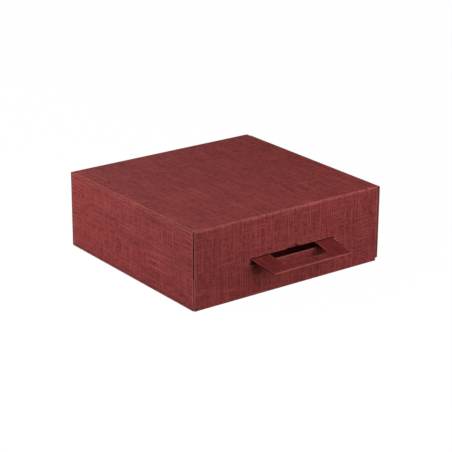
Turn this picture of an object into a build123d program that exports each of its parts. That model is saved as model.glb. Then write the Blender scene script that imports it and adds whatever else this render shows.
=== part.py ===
"""Sliding drawer gift box: a folded sleeve with a carry handle, and a roll-over drawer.

Millimetres, +Z up. The origin is the centre of the sleeve's underside. The handle's face looks
along -Y, and the drawer slides along X, through the sleeve's open ends.

Both blanks are creased board, and each panel between two creases is its own solid. A panel starts
as a strip of board: "along" runs down the strip on its show face, and "depth" runs from that face
into the board. Where the board is creased, the strip ends in a mitre with a rounded outside.
"""
from build123d import *

import os
from dataclasses import dataclass
from math import cos, radians, sin, tan

# Sleeve
SLEEVE_LENGTH = 336.0
SLEEVE_DEPTH = 324.6
SLEEVE_HEIGHT = 119.6
BOARD = 1.8
FOLD_RADIUS = 2.4
FLAP_GAP = 0.4
FLAP_FOOT = 0.6
FLAP_CORNER = 1.2
CREASE_GAP = 0.15

# Closure: a window in the front flap, a thumb notch above it, and the handle that comes through
CLOSURE_X = 6.8
SLOT_Z = 58.5
WINDOW_HEIGHT = 10.5
WINDOW_TOP = 153.6
WINDOW_FOOT = 165.2
WINDOW_CORNER = 0.8
NOTCH_RISE = 6.2
NOTCH_RADIUS = 15.0
HANDLE_DROOP = 8.5
HANDLE_DROP = 1.6
HANDLE_LENGTH = 52.6
HANDLE_ROOT = 152.4
HANDLE_TIP = 142.6
HANDLE_CORNER = 1.5
HANDLE_FOLD_RADIUS = 1.6
HAND_HOLE_LENGTH = 37.3
HAND_HOLE_ROOT = 87.2
HAND_HOLE_TIP = 78.6
HAND_HOLE_CORNER = 2.5
HAND_HOLE_RELIEF = 20.0
FINGER_HEAD = 57.0

# Drawer
DRAWER_LENGTH = 343.6
DRAWER_SET_BACK = 0.3
SIDE_CLEARANCE = 0.5
TOP_CLEARANCE = 0.6
FOOT_CLEARANCE = 0.1
TAB_REACH = 48.0
TAB_TAPER = 9.0
TAB_CLEARANCE = 0.2
LOCK_WIDTH = 34.0
LOCK_TAPER = 2.0
LOCK_SPACING = 150.0
LOCK_PLAY = 0.2

# Places that follow from the sizes above
FRONT = -SLEEVE_DEPTH / 2
BACK = SLEEVE_DEPTH / 2
LOCKING_FACE = FRONT + BOARD + FLAP_GAP
LOCKING_BACK = LOCKING_FACE + BOARD
HINGE_Z = SLOT_Z - HANDLE_DROP + (BOARD + FLAP_GAP) * tan(radians(HANDLE_DROOP))
WALL = 3 * BOARD
WEST = -SLEEVE_LENGTH / 2 + DRAWER_SET_BACK
EAST = WEST + DRAWER_LENGTH
NEAR = LOCKING_BACK + SIDE_CLEARANCE
FAR = BACK - BOARD - SIDE_CLEARANCE
DRAWER_DEPTH = FAR - NEAR
FOOT = BOARD + FOOT_CLEARANCE
FLOOR = FOOT + BOARD
RIM = SLEEVE_HEIGHT - BOARD - TOP_CLEARANCE
MID_X = (WEST + EAST) / 2
MID_Y = (NEAR + FAR) / 2
MID_Z = (FOOT + RIM) / 2

UP = (0, 0, 1)
DOWN = (0, 0, -1)


@dataclass(frozen=True)
class Fold:
    """A creased end of a strip: how far the board turns there, and which face is outside."""

    turn: float = 90.0
    radius: float = FOLD_RADIUS
    outside_is_show_face: bool = True
    set_back: float = 0.0


FOLD = Fold()


def fold_points(fold):
    """Points (along, depth) of a creased end: tangent, arc middle, end of the arc, inside."""
    half_turn = radians(fold.turn / 2)
    tangent = fold.radius * tan(half_turn)
    arc = [(tangent - fold.radius * sin(half_turn * part), fold.radius * (1 - cos(half_turn * part)))
           for part in (0, 0.5, 1)]
    points = arc + [(BOARD * tan(half_turn), BOARD)]
    if not fold.outside_is_show_face:
        points = [(along, BOARD - depth) for along, depth in points]
    return [(along + fold.set_back, depth) for along, depth in points]


def end_edges(fold, place):
    """Edges of one end of a strip, and its end points on the show face and on the hidden face."""
    if fold is None:
        show, hidden = place(0, 0), place(0, BOARD)
        return [Line(show, hidden)], show, hidden
    tangent, middle, arc_end, inside = [place(*point) for point in fold_points(fold)]
    edges = [ThreePointArc(tangent, middle, arc_end), Line(arc_end, inside)]
    if fold.outside_is_show_face:
        return edges, tangent, inside
    return edges, inside, tangent


def strip(length, width, first=None, last=None):
    """A strip along +X with its show face on z = 0, facing -Z, and its width centred on Y."""
    side = -width / 2
    head, head_show, head_hidden = end_edges(first, lambda along, depth: (along, side, depth))
    tail, tail_show, tail_hidden = end_edges(last, lambda along, depth: (length - along, side, depth))
    long_edges = [Line(head_show, tail_show), Line(head_hidden, tail_hidden)]
    return extrude(make_face(head + tail + long_edges), amount=width, dir=(0, 1, 0))


def lay(solid, corner, along, facing):
    """Put a strip in place: where its outer corner is, where it runs, and where its show face looks."""
    into_board = -Vector(*facing)
    return Plane(origin=corner, x_dir=along, z_dir=into_board) * solid


def die_cut(points, rounded, radius):
    """A closed outline of straight cuts, with some corners rounded, as a flat face."""
    face = make_face(Polyline(*points, close=True))
    corners = [vertex for vertex in face.vertices()
               if any((vertex.center() - Vector(*point)).length < 0.01 for point in rounded)]
    return fillet(corners, radius)


def trapezoid(start, start_width, end, end_width):
    """Corners of a trapezoid that is centred on the X axis and runs along it."""
    return [(start, -start_width / 2), (end, -end_width / 2), (end, end_width / 2), (start, start_width / 2)]


# Sleeve: one blank, from the locking panel round the bottom, back and top to the front flap


def sleeve_bottom():
    panel = strip(BACK - LOCKING_FACE, SLEEVE_LENGTH, FOLD, FOLD)
    return lay(panel, (0, LOCKING_FACE, 0), (0, 1, 0), DOWN)


def sleeve_back():
    panel = strip(SLEEVE_HEIGHT, SLEEVE_LENGTH, FOLD, FOLD)
    return lay(panel, (0, BACK, 0), UP, (0, 1, 0))


def sleeve_top():
    panel = strip(SLEEVE_DEPTH, SLEEVE_LENGTH, FOLD, FOLD)
    return lay(panel, (0, BACK, SLEEVE_HEIGHT), (0, -1, 0), UP)


def finger_opening(head):
    """Cutter for the opening behind the hand hole, from below the handle's crease up to a height."""
    corners = trapezoid(HINGE_Z - HAND_HOLE_RELIEF, HAND_HOLE_ROOT, head, HAND_HOLE_ROOT)
    face_plane = Plane(origin=(CLOSURE_X, LOCKING_FACE, 0), x_dir=UP, z_dir=(0, 1, 0))
    return extrude(face_plane * die_cut(corners, corners, HAND_HOLE_CORNER), amount=2 * WALL, both=True)


def locking_panel():
    """The panel behind the flap; the finger opening is open to the top between the handle's legs."""
    handle_crease = Fold(90 + HANDLE_DROOP, HANDLE_FOLD_RADIUS, outside_is_show_face=False)
    panel = strip(HINGE_Z, SLEEVE_LENGTH, FOLD, handle_crease)
    return lay(panel, (0, LOCKING_FACE, 0), UP, (0, -1, 0)) - finger_opening(HINGE_Z + 2 * HAND_HOLE_CORNER)


def closure_window():
    """The slanted window and the half-moon notch above it, as one cutter through the flap."""
    corners = trapezoid(SLOT_Z - WINDOW_HEIGHT, WINDOW_FOOT, SLOT_Z, WINDOW_TOP)
    notch = Pos(SLOT_Z + NOTCH_RISE - NOTCH_RADIUS) * Circle(NOTCH_RADIUS)
    above_window = Pos(SLOT_Z + NOTCH_RADIUS - WINDOW_HEIGHT / 2) * Rectangle(2 * NOTCH_RADIUS, 3 * NOTCH_RADIUS)
    opening = die_cut(corners, corners, WINDOW_CORNER) + (notch & above_window)
    flap_plane = Plane(origin=(CLOSURE_X, FRONT, 0), x_dir=UP, z_dir=(0, 1, 0))
    return extrude(flap_plane * opening, amount=2 * BOARD, both=True)


def front_flap():
    length = SLEEVE_HEIGHT - FLAP_FOOT
    outline = trapezoid(0, SLEEVE_LENGTH, length, SLEEVE_LENGTH)
    panel = strip(length, SLEEVE_LENGTH, Fold(set_back=CREASE_GAP))
    panel &= extrude(die_cut(outline, outline[1:3], FLAP_CORNER), amount=BOARD)
    return lay(panel, (0, FRONT, SLEEVE_HEIGHT), DOWN, (0, -1, 0)) - closure_window()


def carry_handle():
    """Two legs and a grip band round the hand hole, creased to the top of the locking panel."""
    droop = radians(HANDLE_DROOP)
    crease = Fold(90 + HANDLE_DROOP, HANDLE_FOLD_RADIUS, set_back=CREASE_GAP)
    outline = trapezoid(0, HANDLE_ROOT, HANDLE_LENGTH, HANDLE_TIP)
    hole = trapezoid(-BOARD, HAND_HOLE_ROOT, HAND_HOLE_LENGTH, HAND_HOLE_TIP)
    plate = strip(HANDLE_LENGTH, HANDLE_ROOT, crease)
    plate &= extrude(die_cut(outline, outline[1:3], HANDLE_CORNER), amount=BOARD)
    plate -= extrude(die_cut(hole, hole[1:3], HAND_HOLE_CORNER), amount=2 * BOARD, both=True)
    outward = (0, -cos(droop), -sin(droop))
    return lay(plate, (CLOSURE_X, LOCKING_BACK, HINGE_Z), outward, (0, -sin(droop), cos(droop)))


# Drawer: one blank, with double walls that roll over a flat rim, and tabs inside the corners


@dataclass(frozen=True)
class Side:
    """One side of the drawer: its outer face, which way it looks, and its size along that face."""

    middle: tuple
    facing: tuple
    width: float
    is_end: bool

    @property
    def inward(self):
        return tuple(-value for value in self.facing)

    def at(self, z, inset=0.0):
        """A point on the middle of this side, at a height and a distance in from its outer face."""
        x, y = (self.middle[k] + inset * self.inward[k] for k in (0, 1))
        return (x, y, z)

    def sector(self):
        """The part of the drawer that this side's rim and inner wall may fill, mitred in plan."""
        run = (-self.facing[1], self.facing[0])
        half, reach = self.width / 2, DRAWER_DEPTH / 2
        offsets = [(-half, 0), (half, 0), (half - reach, reach), (reach - half, reach)]
        if self.is_end:
            offsets = [(-half, 0), (half, 0), (0, half)]
        corners = [(self.middle[0] + run[0] * across + self.inward[0] * inset,
                    self.middle[1] + run[1] * across + self.inward[1] * inset)
                   for across, inset in offsets]
        return extrude(make_face(Polyline(*corners, close=True)), amount=SLEEVE_HEIGHT)


SIDES = {
    "left_end": Side((WEST, MID_Y), (-1, 0, 0), DRAWER_DEPTH, True),
    "right_end": Side((EAST, MID_Y), (1, 0, 0), DRAWER_DEPTH, True),
    "front_side": Side((MID_X, NEAR), (0, -1, 0), DRAWER_LENGTH, False),
    "back_side": Side((MID_X, FAR), (0, 1, 0), DRAWER_LENGTH, False),
}


def outer_wall(side):
    """A creased wall. The long sides are narrower, and turn at both ends into the corner tabs."""
    height = RIM - FOOT
    if side.is_end:
        return lay(strip(height, side.width, FOLD, FOLD), side.at(FOOT), UP, side.facing)
    width = side.width - 2 * BOARD
    upright = lay(strip(height, width, FOLD, FOLD), side.at(FOOT), UP, side.facing)
    start = (WEST + BOARD, side.middle[1], MID_Z)
    return upright & lay(strip(width, height, FOLD, FOLD), start, (1, 0, 0), side.facing)


def rolled_rim(side):
    panel = strip(WALL, side.width, FOLD, FOLD)
    return lay(panel, side.at(RIM), side.inward, UP) & side.sector()


def lock_tabs(side, grow=0.0):
    """Tapered tabs under an inner wall, or with some play added, the slots that they seat in."""
    width, depth = LOCK_WIDTH + 2 * grow, BOARD + 2 * grow
    along = (-side.facing[1], side.facing[0], 0)
    wall_middle = side.at(FLOOR, WALL - BOARD / 2)
    tabs = []
    for step in (-LOCK_SPACING / 2, LOCK_SPACING / 2):
        place = Vector(*wall_middle) + Vector(*along) * step
        frame = Plane(origin=place, x_dir=DOWN, z_dir=side.facing)
        outline = trapezoid(-grow, width, BOARD + grow, width - (0 if grow else LOCK_TAPER))
        tabs.append(extrude(frame * make_face(Polyline(*outline, close=True)), amount=depth / 2, both=True))
    return tabs


def inner_wall(side):
    panel = lay(strip(RIM - FLOOR, side.width, FOLD), side.at(RIM, WALL), DOWN, side.inward)
    return (panel & side.sector()) + lock_tabs(side)


def drawer_floor():
    lengthwise = lay(strip(DRAWER_LENGTH, DRAWER_DEPTH, FOLD, FOLD), (WEST, MID_Y, FOOT), (1, 0, 0), DOWN)
    crosswise = lay(strip(DRAWER_DEPTH, DRAWER_LENGTH, FOLD, FOLD), (MID_X, NEAR, FOOT), (0, 1, 0), DOWN)
    floor = lengthwise & crosswise
    for side in SIDES.values():
        floor -= lock_tabs(side, grow=LOCK_PLAY)
    return floor


def corner_tab(end, side):
    """A tab at the end of a long side, turned in between the two walls of the drawer's end."""
    height = RIM - FLOOR - BOARD - 2 * TAB_CLEARANCE
    outline = trapezoid(0, height, TAB_REACH, height - 2 * TAB_TAPER)
    panel = strip(TAB_REACH, height, FOLD) & extrude(make_face(Polyline(*outline, close=True)), amount=BOARD)
    corner = (end.middle[0] + BOARD * end.inward[0], side.middle[1], (FLOOR + RIM - BOARD) / 2)
    return lay(panel, corner, side.inward, end.facing)


def nodes():
    """Every solid of the box, by its node name."""
    parts = {
        "sleeve_bottom_panel": sleeve_bottom(),
        "sleeve_back_panel": sleeve_back(),
        "sleeve_top_panel": sleeve_top(),
        "sleeve_locking_panel": locking_panel(),
        "sleeve_front_flap": front_flap(),
        "carry_handle": carry_handle(),
        "drawer_floor": drawer_floor(),
    }
    for name, side in SIDES.items():
        parts[f"drawer_{name}_outer_wall"] = outer_wall(side)
        parts[f"drawer_{name}_rolled_rim"] = rolled_rim(side)
        parts[f"drawer_{name}_inner_wall"] = inner_wall(side)
    for wall in ("outer_wall", "inner_wall"):
        parts[f"drawer_front_side_{wall}"] -= finger_opening(FINGER_HEAD)
    for end_name in ("left_end", "right_end"):
        for side_name in ("front_side", "back_side"):
            corner = f"{side_name.split('_')[0]}_{end_name.split('_')[0]}"
            parts[f"drawer_{corner}_corner_tab"] = corner_tab(SIDES[end_name], SIDES[side_name])
    return parts


def main():
    os.makedirs("parts", exist_ok=True)
    for name, shape in nodes().items():
        solids = shape.solids()
        assert len(solids) == 1, f"{name} has {len(solids)} solids"
        export_step(solids[0], f"parts/{name}.step")


if __name__ == "__main__":
    main()
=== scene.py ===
"""Looks of the sliding drawer gift box: linen-embossed paper on micro-flute board.

The sleeve, the front flap, the carry handle and the drawer are rebuilt as real board round the CAD
frame. Sizes are millimetres until a mesh is made, and Blender's metres after that. Z is up, the front
flap looks along -Y, and the drawer slides along X.

Every piece of board is one idea: a closed cross-section of the board carried through stations. At a
station t, a point of the section lies at  origin(t) + across(t) * along + depth(t) * down,  where
"along" runs over the panel and "down" runs from its show face into the board.
"""

import logging
import math
from dataclasses import dataclass, replace
from enum import Enum

import bpy
import numpy as np
from mathutils import Matrix, Vector


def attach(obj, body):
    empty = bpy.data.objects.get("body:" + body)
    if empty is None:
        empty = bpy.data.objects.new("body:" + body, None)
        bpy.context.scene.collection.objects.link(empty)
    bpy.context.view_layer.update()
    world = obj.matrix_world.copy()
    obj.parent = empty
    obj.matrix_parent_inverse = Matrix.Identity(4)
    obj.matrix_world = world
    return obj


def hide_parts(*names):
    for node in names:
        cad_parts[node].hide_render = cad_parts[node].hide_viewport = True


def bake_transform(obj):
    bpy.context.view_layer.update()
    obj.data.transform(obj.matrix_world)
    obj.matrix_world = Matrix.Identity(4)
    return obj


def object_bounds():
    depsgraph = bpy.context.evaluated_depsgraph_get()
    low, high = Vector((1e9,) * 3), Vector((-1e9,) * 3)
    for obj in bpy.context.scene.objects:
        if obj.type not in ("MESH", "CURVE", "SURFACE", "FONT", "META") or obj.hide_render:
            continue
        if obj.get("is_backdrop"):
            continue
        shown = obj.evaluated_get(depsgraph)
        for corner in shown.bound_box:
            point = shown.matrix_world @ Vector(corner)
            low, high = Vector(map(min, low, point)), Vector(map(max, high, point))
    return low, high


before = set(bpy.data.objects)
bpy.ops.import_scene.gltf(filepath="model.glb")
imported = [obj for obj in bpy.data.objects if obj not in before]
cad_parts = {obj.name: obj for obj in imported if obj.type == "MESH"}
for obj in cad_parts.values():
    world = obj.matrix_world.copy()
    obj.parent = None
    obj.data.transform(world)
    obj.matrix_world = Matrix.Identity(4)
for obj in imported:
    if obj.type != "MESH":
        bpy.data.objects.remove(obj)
CAD_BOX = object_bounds()

MM = 0.001
BLANK_MAP = "Blank"
WEAR_AND_HIGHLIGHT = "wear_and_highlight"
SHARP = math.radians(32)
IMAGE_SIDE = 452
SENSOR = 36.0
WHITE = (1.0, 1.0, 1.0, 1.0)
log = logging.getLogger("gift_box")


# Sizes, the same as the CAD model's


@dataclass(frozen=True)
class BoardSizes:
    """The board: two paper liners with a fluted sheet between them."""

    thickness: float = 1.8
    liner: float = 0.42
    medium: float = 0.2
    flute_pitch: float = 3.2
    flute_steps: int = 8
    flute_play: float = 0.03
    groove: float = 3.2
    sheet_inset: float = 0.12
    sheet_gap: float = 0.1
    sheet_side: float = 0.4
    fold_radius: float = 2.4

    @property
    def flute_height(self) -> float:
        """Half of the height that the fluted sheet waves through."""
        return (self.thickness - 2 * self.liner - self.medium) / 2 - self.flute_play

    @property
    def sheet_depth(self) -> float:
        """Distance from a cut to the inner end of the fluted sheet, just short of the groove's floor."""
        return self.groove - self.sheet_gap


BOARD = BoardSizes()


@dataclass(frozen=True)
class SleeveSizes:
    """The sleeve's outer sizes, and the closure's places on its front."""

    length: float = 336.0
    depth: float = 324.6
    height: float = 119.6
    flap_gap: float = 0.4
    flap_foot: float = 0.6
    flap_corner: float = 1.2
    closure_x: float = 6.8
    slot_z: float = 58.5
    window_height: float = 10.5
    window_top: float = 153.6
    window_foot: float = 165.2
    window_corner: float = 0.8
    notch_rise: float = 6.2
    notch_radius: float = 15.0

    @property
    def front(self) -> float:
        """Y of the front flap's show face."""
        return -self.depth / 2

    @property
    def back(self) -> float:
        """Y of the back panel's show face."""
        return self.depth / 2

    @property
    def locking_face(self) -> float:
        """Y of the locking panel's show face."""
        return self.front + BOARD.thickness + self.flap_gap


SLEEVE = SleeveSizes()


@dataclass(frozen=True)
class HandleSizes:
    """The carry handle: two legs and a grip band round the hand hole."""

    droop: float = math.radians(8.5)
    drop: float = 1.6
    length: float = 52.6
    root: float = 152.4
    tip: float = 142.6
    corner: float = 1.5
    fold_radius: float = 1.6
    hole_length: float = 37.3
    hole_root: float = 87.2
    hole_tip: float = 78.6
    hole_corner: float = 2.5
    hole_relief: float = 20.0
    finger_head: float = 57.0
    # crease_reach also sets how far along the legs the crease's painted shade reaches.
    crease_reach: float = 3.3

    @property
    def hinge_z(self) -> float:
        """Z where the handle's top face and the locking panel's hidden face would meet."""
        return SLEEVE.slot_z - self.drop + (BOARD.thickness + SLEEVE.flap_gap) * math.tan(self.droop)

    @property
    def finger_foot(self) -> float:
        """Z of the foot of the finger opening behind the hand hole."""
        return self.hinge_z - self.hole_relief

    @property
    def hinge_y(self) -> float:
        """Y of the locking panel's hidden face."""
        return SLEEVE.locking_face + BOARD.thickness

    def half_width(self, reach: np.ndarray | float) -> np.ndarray | float:
        """Half of the handle's width at a distance from the hinge."""
        return (self.root + (self.tip - self.root) * reach / self.length) / 2

    def half_hole(self, reach: np.ndarray | float) -> np.ndarray | float:
        """Half of the hand hole's width at a distance from the hinge."""
        share = (reach + BOARD.thickness) / (self.hole_length + BOARD.thickness)
        return (self.hole_root + (self.hole_tip - self.hole_root) * share) / 2


HANDLE = HandleSizes()


@dataclass(frozen=True)
class DrawerSizes:
    """The drawer's outer sizes and its clearances in the sleeve."""

    length: float = 343.6
    set_back: float = 0.3
    side_clearance: float = 0.5
    top_clearance: float = 0.6
    foot_clearance: float = 0.1
    lock_width: float = 34.0
    lock_taper: float = 2.0
    lock_spacing: float = 150.0
    lock_play: float = 0.05

    @property
    def west(self) -> float:
        """X of the left end's outer face."""
        return -SLEEVE.length / 2 + self.set_back

    @property
    def near(self) -> float:
        """Y of the front side's outer face."""
        return HANDLE.hinge_y + self.side_clearance

    @property
    def far(self) -> float:
        """Y of the back side's outer face."""
        return SLEEVE.back - BOARD.thickness - self.side_clearance

    @property
    def foot(self) -> float:
        """Z of the drawer's underside."""
        return BOARD.thickness + self.foot_clearance

    @property
    def floor(self) -> float:
        """Z of the drawer floor's upper face."""
        return self.foot + BOARD.thickness

    @property
    def rim(self) -> float:
        """Z of the rolled rims."""
        return SLEEVE.height - BOARD.thickness - self.top_clearance

    @property
    def wall(self) -> float:
        """Thickness of a rolled wall."""
        return 3 * BOARD.thickness


DRAWER = DrawerSizes()


@dataclass(frozen=True)
class BlankPlaces:
    """Where the panels start on the blanks' maps, so that no two of them show the same threads."""

    locking_panel: float = 1800.0
    bottom: float = 2000.0
    back: float = 2400.0
    top: float = 2600.0
    handle: float = 3200.0
    drawer: float = 4000.0
    next_side: float = 1000.0
    rim: float = 200.0
    inner_wall: float = 400.0


PLACES = BlankPlaces()


# Finishes


class Finish(Enum):
    """What a face of the board is covered with. The value is its material index."""

    LINEN = 0
    REVERSE = 1
    PAPER_EDGE_AND_HIGHLIGHT = 2
    # Near-black: dyed board darkened to painted shade inside the grooves.
    FLUTING_AND_SHADE = 3


def linear(colour: str) -> tuple[float, float, float, float]:
    """Turns an sRGB hex colour into Blender's linear colour.

    Args:
        colour: six hex digits after a hash sign.

    Returns:
        Linear red, green and blue, and an alpha of 1.
    """
    parts = [int(colour[k:k + 2], 16) / 255 for k in (1, 3, 5)]
    red, green, blue = [p / 12.92 if p <= 0.04045 else ((p + 0.055) / 1.055) ** 2.4 for p in parts]
    return red, green, blue, 1.0


def add_node(tree: bpy.types.NodeTree, kind: str, settings: dict | None = None,
             inputs: dict | None = None) -> bpy.types.Node:
    """Adds a node, sets it up and links it.

    Args:
        tree: the node tree it goes into.
        kind: the node's Blender type.
        settings: the node's own properties, by name.
        inputs: values or output sockets for its inputs, by name or number.

    Returns:
        The new node.
    """
    node = tree.nodes.new(kind)
    for name, value in (settings or {}).items():
        setattr(node, name, value)
    for key, value in (inputs or {}).items():
        if isinstance(value, bpy.types.NodeSocket):
            tree.links.new(value, node.inputs[key])
        else:
            node.inputs[key].default_value = value
    return node


class Coordinates(Enum):
    """Where a finish reads its place from: across the grain, then along it."""

    BLANK = "the piece's own map"
    FLAT = "object coordinates x and y"
    UPRIGHT = "object coordinates y and z"


@dataclass(frozen=True)
class Threads:
    """One set of threads: their spacing and their length in millimetres, and how strong they are.

    With a bar of 0 the noise darkens and lightens about zero. Above 0 only the noise that rises over
    the bar counts, which leaves single light threads.
    """

    spacing: float
    length: float
    strength: float
    along_grain: bool = True
    detail: float = 2.0
    bar: float = 0.0


# Uneven dyeing: cloudy patches of about 30 mm. A paper gives them its own strength.
MOTTLE = Threads(26.0, 34.0, 1.0, detail=4.0)
SEED_STEP = 7.3
RELIEF_DEPTH = 0.3


@dataclass(frozen=True)
class Paper:
    """A paper liner of the board: its colours, its threads or ribs and its gloss."""

    name: str
    dark: str
    light: str
    worn_and_highlight: str
    roughness: float
    specular: float
    threads: tuple[Threads, ...]
    mottle: float
    ribs: float
    relief: float
    coordinates: Coordinates = Coordinates.BLANK

    def place(self, tree: bpy.types.NodeTree) -> bpy.types.NodeSocket:
        """Gives the place on the blank in millimetres: x across the grain, y along it.

        Args:
            tree: the material's node tree.

        Returns:
            The place's output socket.
        """
        if self.coordinates is Coordinates.BLANK:
            source = add_node(tree, "ShaderNodeUVMap", {"uv_map": BLANK_MAP}).outputs["UV"]
        else:
            source = add_node(tree, "ShaderNodeTexCoord").outputs["Object"]
        if self.coordinates is Coordinates.UPRIGHT:
            x_y_z = add_node(tree, "ShaderNodeSeparateXYZ", None, {0: source}).outputs
            source = add_node(tree, "ShaderNodeCombineXYZ", None, {0: x_y_z[1], 1: x_y_z[2]}).outputs[0]
        return add_node(tree, "ShaderNodeVectorMath", {"operation": "MULTIPLY"},
                        {0: source, 1: (1 / MM, 1 / MM, 0)}).outputs[0]

    def streaks(self, tree: bpy.types.NodeTree, place: bpy.types.NodeSocket,
                threads: Threads, seed: float) -> bpy.types.NodeSocket:
        """Noise that is drawn out along the threads, times their strength.

        Args:
            tree: the material's node tree.
            place: the place on the blank.
            threads: the set of threads.
            seed: an offset that gives each set its own noise.

        Returns:
            The output socket of the shade that the threads add.
        """
        across, along = 1 / threads.spacing, 1 / threads.length
        scale = (across, along, 0) if threads.along_grain else (along, across, 0)
        drawn = add_node(tree, "ShaderNodeVectorMath", {"operation": "MULTIPLY_ADD"},
                         {0: place, 1: scale, 2: (seed, -seed, seed)}).outputs[0]
        noise = add_node(tree, "ShaderNodeTexNoise", {"noise_dimensions": "2D"},
                         {"Vector": drawn, "Scale": 1.0, "Detail": threads.detail, "Roughness": 0.6}).outputs[0]
        if not threads.bar:
            return add_node(tree, "ShaderNodeMath", {"operation": "MULTIPLY_ADD"},
                            {0: noise, 1: 2 * threads.strength, 2: -threads.strength}).outputs[0]
        above = add_node(tree, "ShaderNodeMath", {"operation": "SUBTRACT", "use_clamp": True},
                         {0: noise, 1: threads.bar}).outputs[0]
        return add_node(tree, "ShaderNodeMath", {"operation": "MULTIPLY"},
                        {0: above, 1: threads.strength}).outputs[0]

    def ribbing(self, tree: bpy.types.NodeTree, place: bpy.types.NodeSocket) -> bpy.types.NodeSocket:
        """The flutes that press through the liner: a sine of the distance across the grain.

        Args:
            tree: the material's node tree.
            place: the place on the blank.

        Returns:
            The output socket of the shade that the ribs add.
        """
        x = add_node(tree, "ShaderNodeSeparateXYZ", None, {0: place}).outputs[0]
        turn = add_node(tree, "ShaderNodeMath", {"operation": "MULTIPLY"},
                        {0: x, 1: 2 * math.pi / BOARD.flute_pitch}).outputs[0]
        wave = add_node(tree, "ShaderNodeMath", {"operation": "SINE"}, {0: turn}).outputs[0]
        return add_node(tree, "ShaderNodeMath", {"operation": "MULTIPLY"}, {0: wave, 1: self.ribs}).outputs[0]

    def material(self) -> bpy.types.Material:
        """Makes the material: mottling, threads and ribs add up to a shade and to a relief.

        Returns:
            The material.
        """
        material = bpy.data.materials.new(self.name)
        material.use_nodes = True
        tree = material.node_tree
        tree.nodes.clear()
        place = self.place(tree)
        total: bpy.types.NodeSocket | float = 0.5
        mottle = replace(MOTTLE, strength=self.mottle)
        for seed, threads in enumerate((mottle,) + self.threads, start=3):
            streak = self.streaks(tree, place, threads, SEED_STEP * seed)
            total = add_node(tree, "ShaderNodeMath", {"operation": "ADD"}, {0: total, 1: streak}).outputs[0]
        if self.ribs:
            total = add_node(tree, "ShaderNodeMath", {"operation": "ADD"},
                             {0: total, 1: self.ribbing(tree, place)}).outputs[0]
        ramp = add_node(tree, "ShaderNodeMix", {"data_type": "RGBA", "clamp_factor": True},
                        {0: total, 6: linear(self.dark), 7: linear(self.light)}).outputs[2]
        # The point attribute lightens the colour toward the worn tone: real rubbing, and a painted highlight along
        # cut edges and folds.
        wear_and_highlight = add_node(tree, "ShaderNodeAttribute", {"attribute_name": WEAR_AND_HIGHLIGHT}).outputs["Fac"]
        rubbed_and_lit = add_node(tree, "ShaderNodeMath", {"operation": "MULTIPLY", "use_clamp": True},
                          {0: wear_and_highlight, 1: total}).outputs[0]
        colour = add_node(tree, "ShaderNodeMix", {"data_type": "RGBA", "clamp_factor": True},
                          {0: rubbed_and_lit, 6: ramp, 7: linear(self.worn_and_highlight)}).outputs[2]
        bump = add_node(tree, "ShaderNodeBump", None,
                        {"Strength": self.relief, "Distance": RELIEF_DEPTH * MM, "Height": total}).outputs[0]
        shader = add_node(tree, "ShaderNodeBsdfPrincipled", None,
                          {"Base Color": colour, "Normal": bump, "Roughness": self.roughness,
                           "Specular IOR Level": self.specular}).outputs[0]
        add_node(tree, "ShaderNodeOutputMaterial", None, {"Surface": shader})
        return material


# Linen-embossed cover paper, dyed burgundy. The embossing's threads are about 0.5 mm apart, too fine
# to show, so the weave is drawn 3 times coarser, with the slubs that do show over it.
LINEN_THREADS = (
    Threads(1.5, 9.0, 0.6),
    Threads(1.5, 9.0, 0.6, along_grain=False),
    Threads(1.8, 50.0, 0.5),
    Threads(2.0, 24.0, 0.25, along_grain=False),
    Threads(1.5, 80.0, 8.0, bar=0.66, detail=0.0),
    Threads(1.5, 50.0, 6.0, along_grain=False, bar=0.68, detail=0.0),
)
LINEN_PAPER = Paper("linen_embossed_paper", dark="#5D2022", light="#97413F", worn_and_highlight="#B4605A", roughness=0.6,
                    specular=0.12, threads=LINEN_THREADS, mottle=0.2, ribs=0.03, relief=0.5)
# The blank's other side: smooth dyed kraft, on which the flutes show as fine ribs.
REVERSE_THREADS = (Threads(1.6, 70.0, 1.0), Threads(1.5, 7.0, 0.5), Threads(4.0, 150.0, 0.4))
REVERSE_PAPER = Paper("dyed_kraft_reverse", dark="#5C1E20", light="#8E3836", worn_and_highlight="#A8605A", roughness=0.65,
                      specular=0.12, threads=REVERSE_THREADS, mottle=0.3, ribs=0.22, relief=0.4)
REVERSE_FLAT = replace(REVERSE_PAPER, name="dyed_kraft_reverse_flat", coordinates=Coordinates.FLAT)
REVERSE_UPRIGHT = replace(REVERSE_PAPER, name="dyed_kraft_reverse_upright", coordinates=Coordinates.UPRIGHT)
# The liners' cut edges: fibres that the knife lays open, paler than the face, and lightened further as a painted
# highlight along the lips.
CUT_EDGE_AND_HIGHLIGHT = Paper("cut_paper_edge_and_highlight", dark="#9A4A43", light="#B8645C", worn_and_highlight="#C2726A", roughness=0.85,
                 specular=0.1, threads=(Threads(0.8, 4.0, 0.5),), mottle=0.3, ribs=0.0, relief=0.2)
# The board's dark inside, on the faces of the grooves, the ends of pieces and the handle creases' outside:
# dyed-through board painted near-black as shade.
FLUTING_AND_SHADE = Paper("fluted_medium_and_shade", dark="#0C0102", light="#1E0405", worn_and_highlight="#260607", roughness=0.9,
                specular=0.05, threads=(Threads(0.7, 6.0, 0.5),), mottle=0.3, ribs=0.0, relief=0.2)


class FinishSet:
    """Makes each paper once and hands out the materials."""

    def __init__(self) -> None:
        """Makes the papers, those of the board in the order of their material indices."""
        papers = {Finish.LINEN: LINEN_PAPER, Finish.REVERSE: REVERSE_PAPER,
                  Finish.PAPER_EDGE_AND_HIGHLIGHT: CUT_EDGE_AND_HIGHLIGHT, Finish.FLUTING_AND_SHADE: FLUTING_AND_SHADE}
        self.materials = [papers[finish].material() for finish in Finish]
        self.reverse_flat = REVERSE_FLAT.material()
        self.reverse_upright = REVERSE_UPRIGHT.material()


# Surfaces


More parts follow.
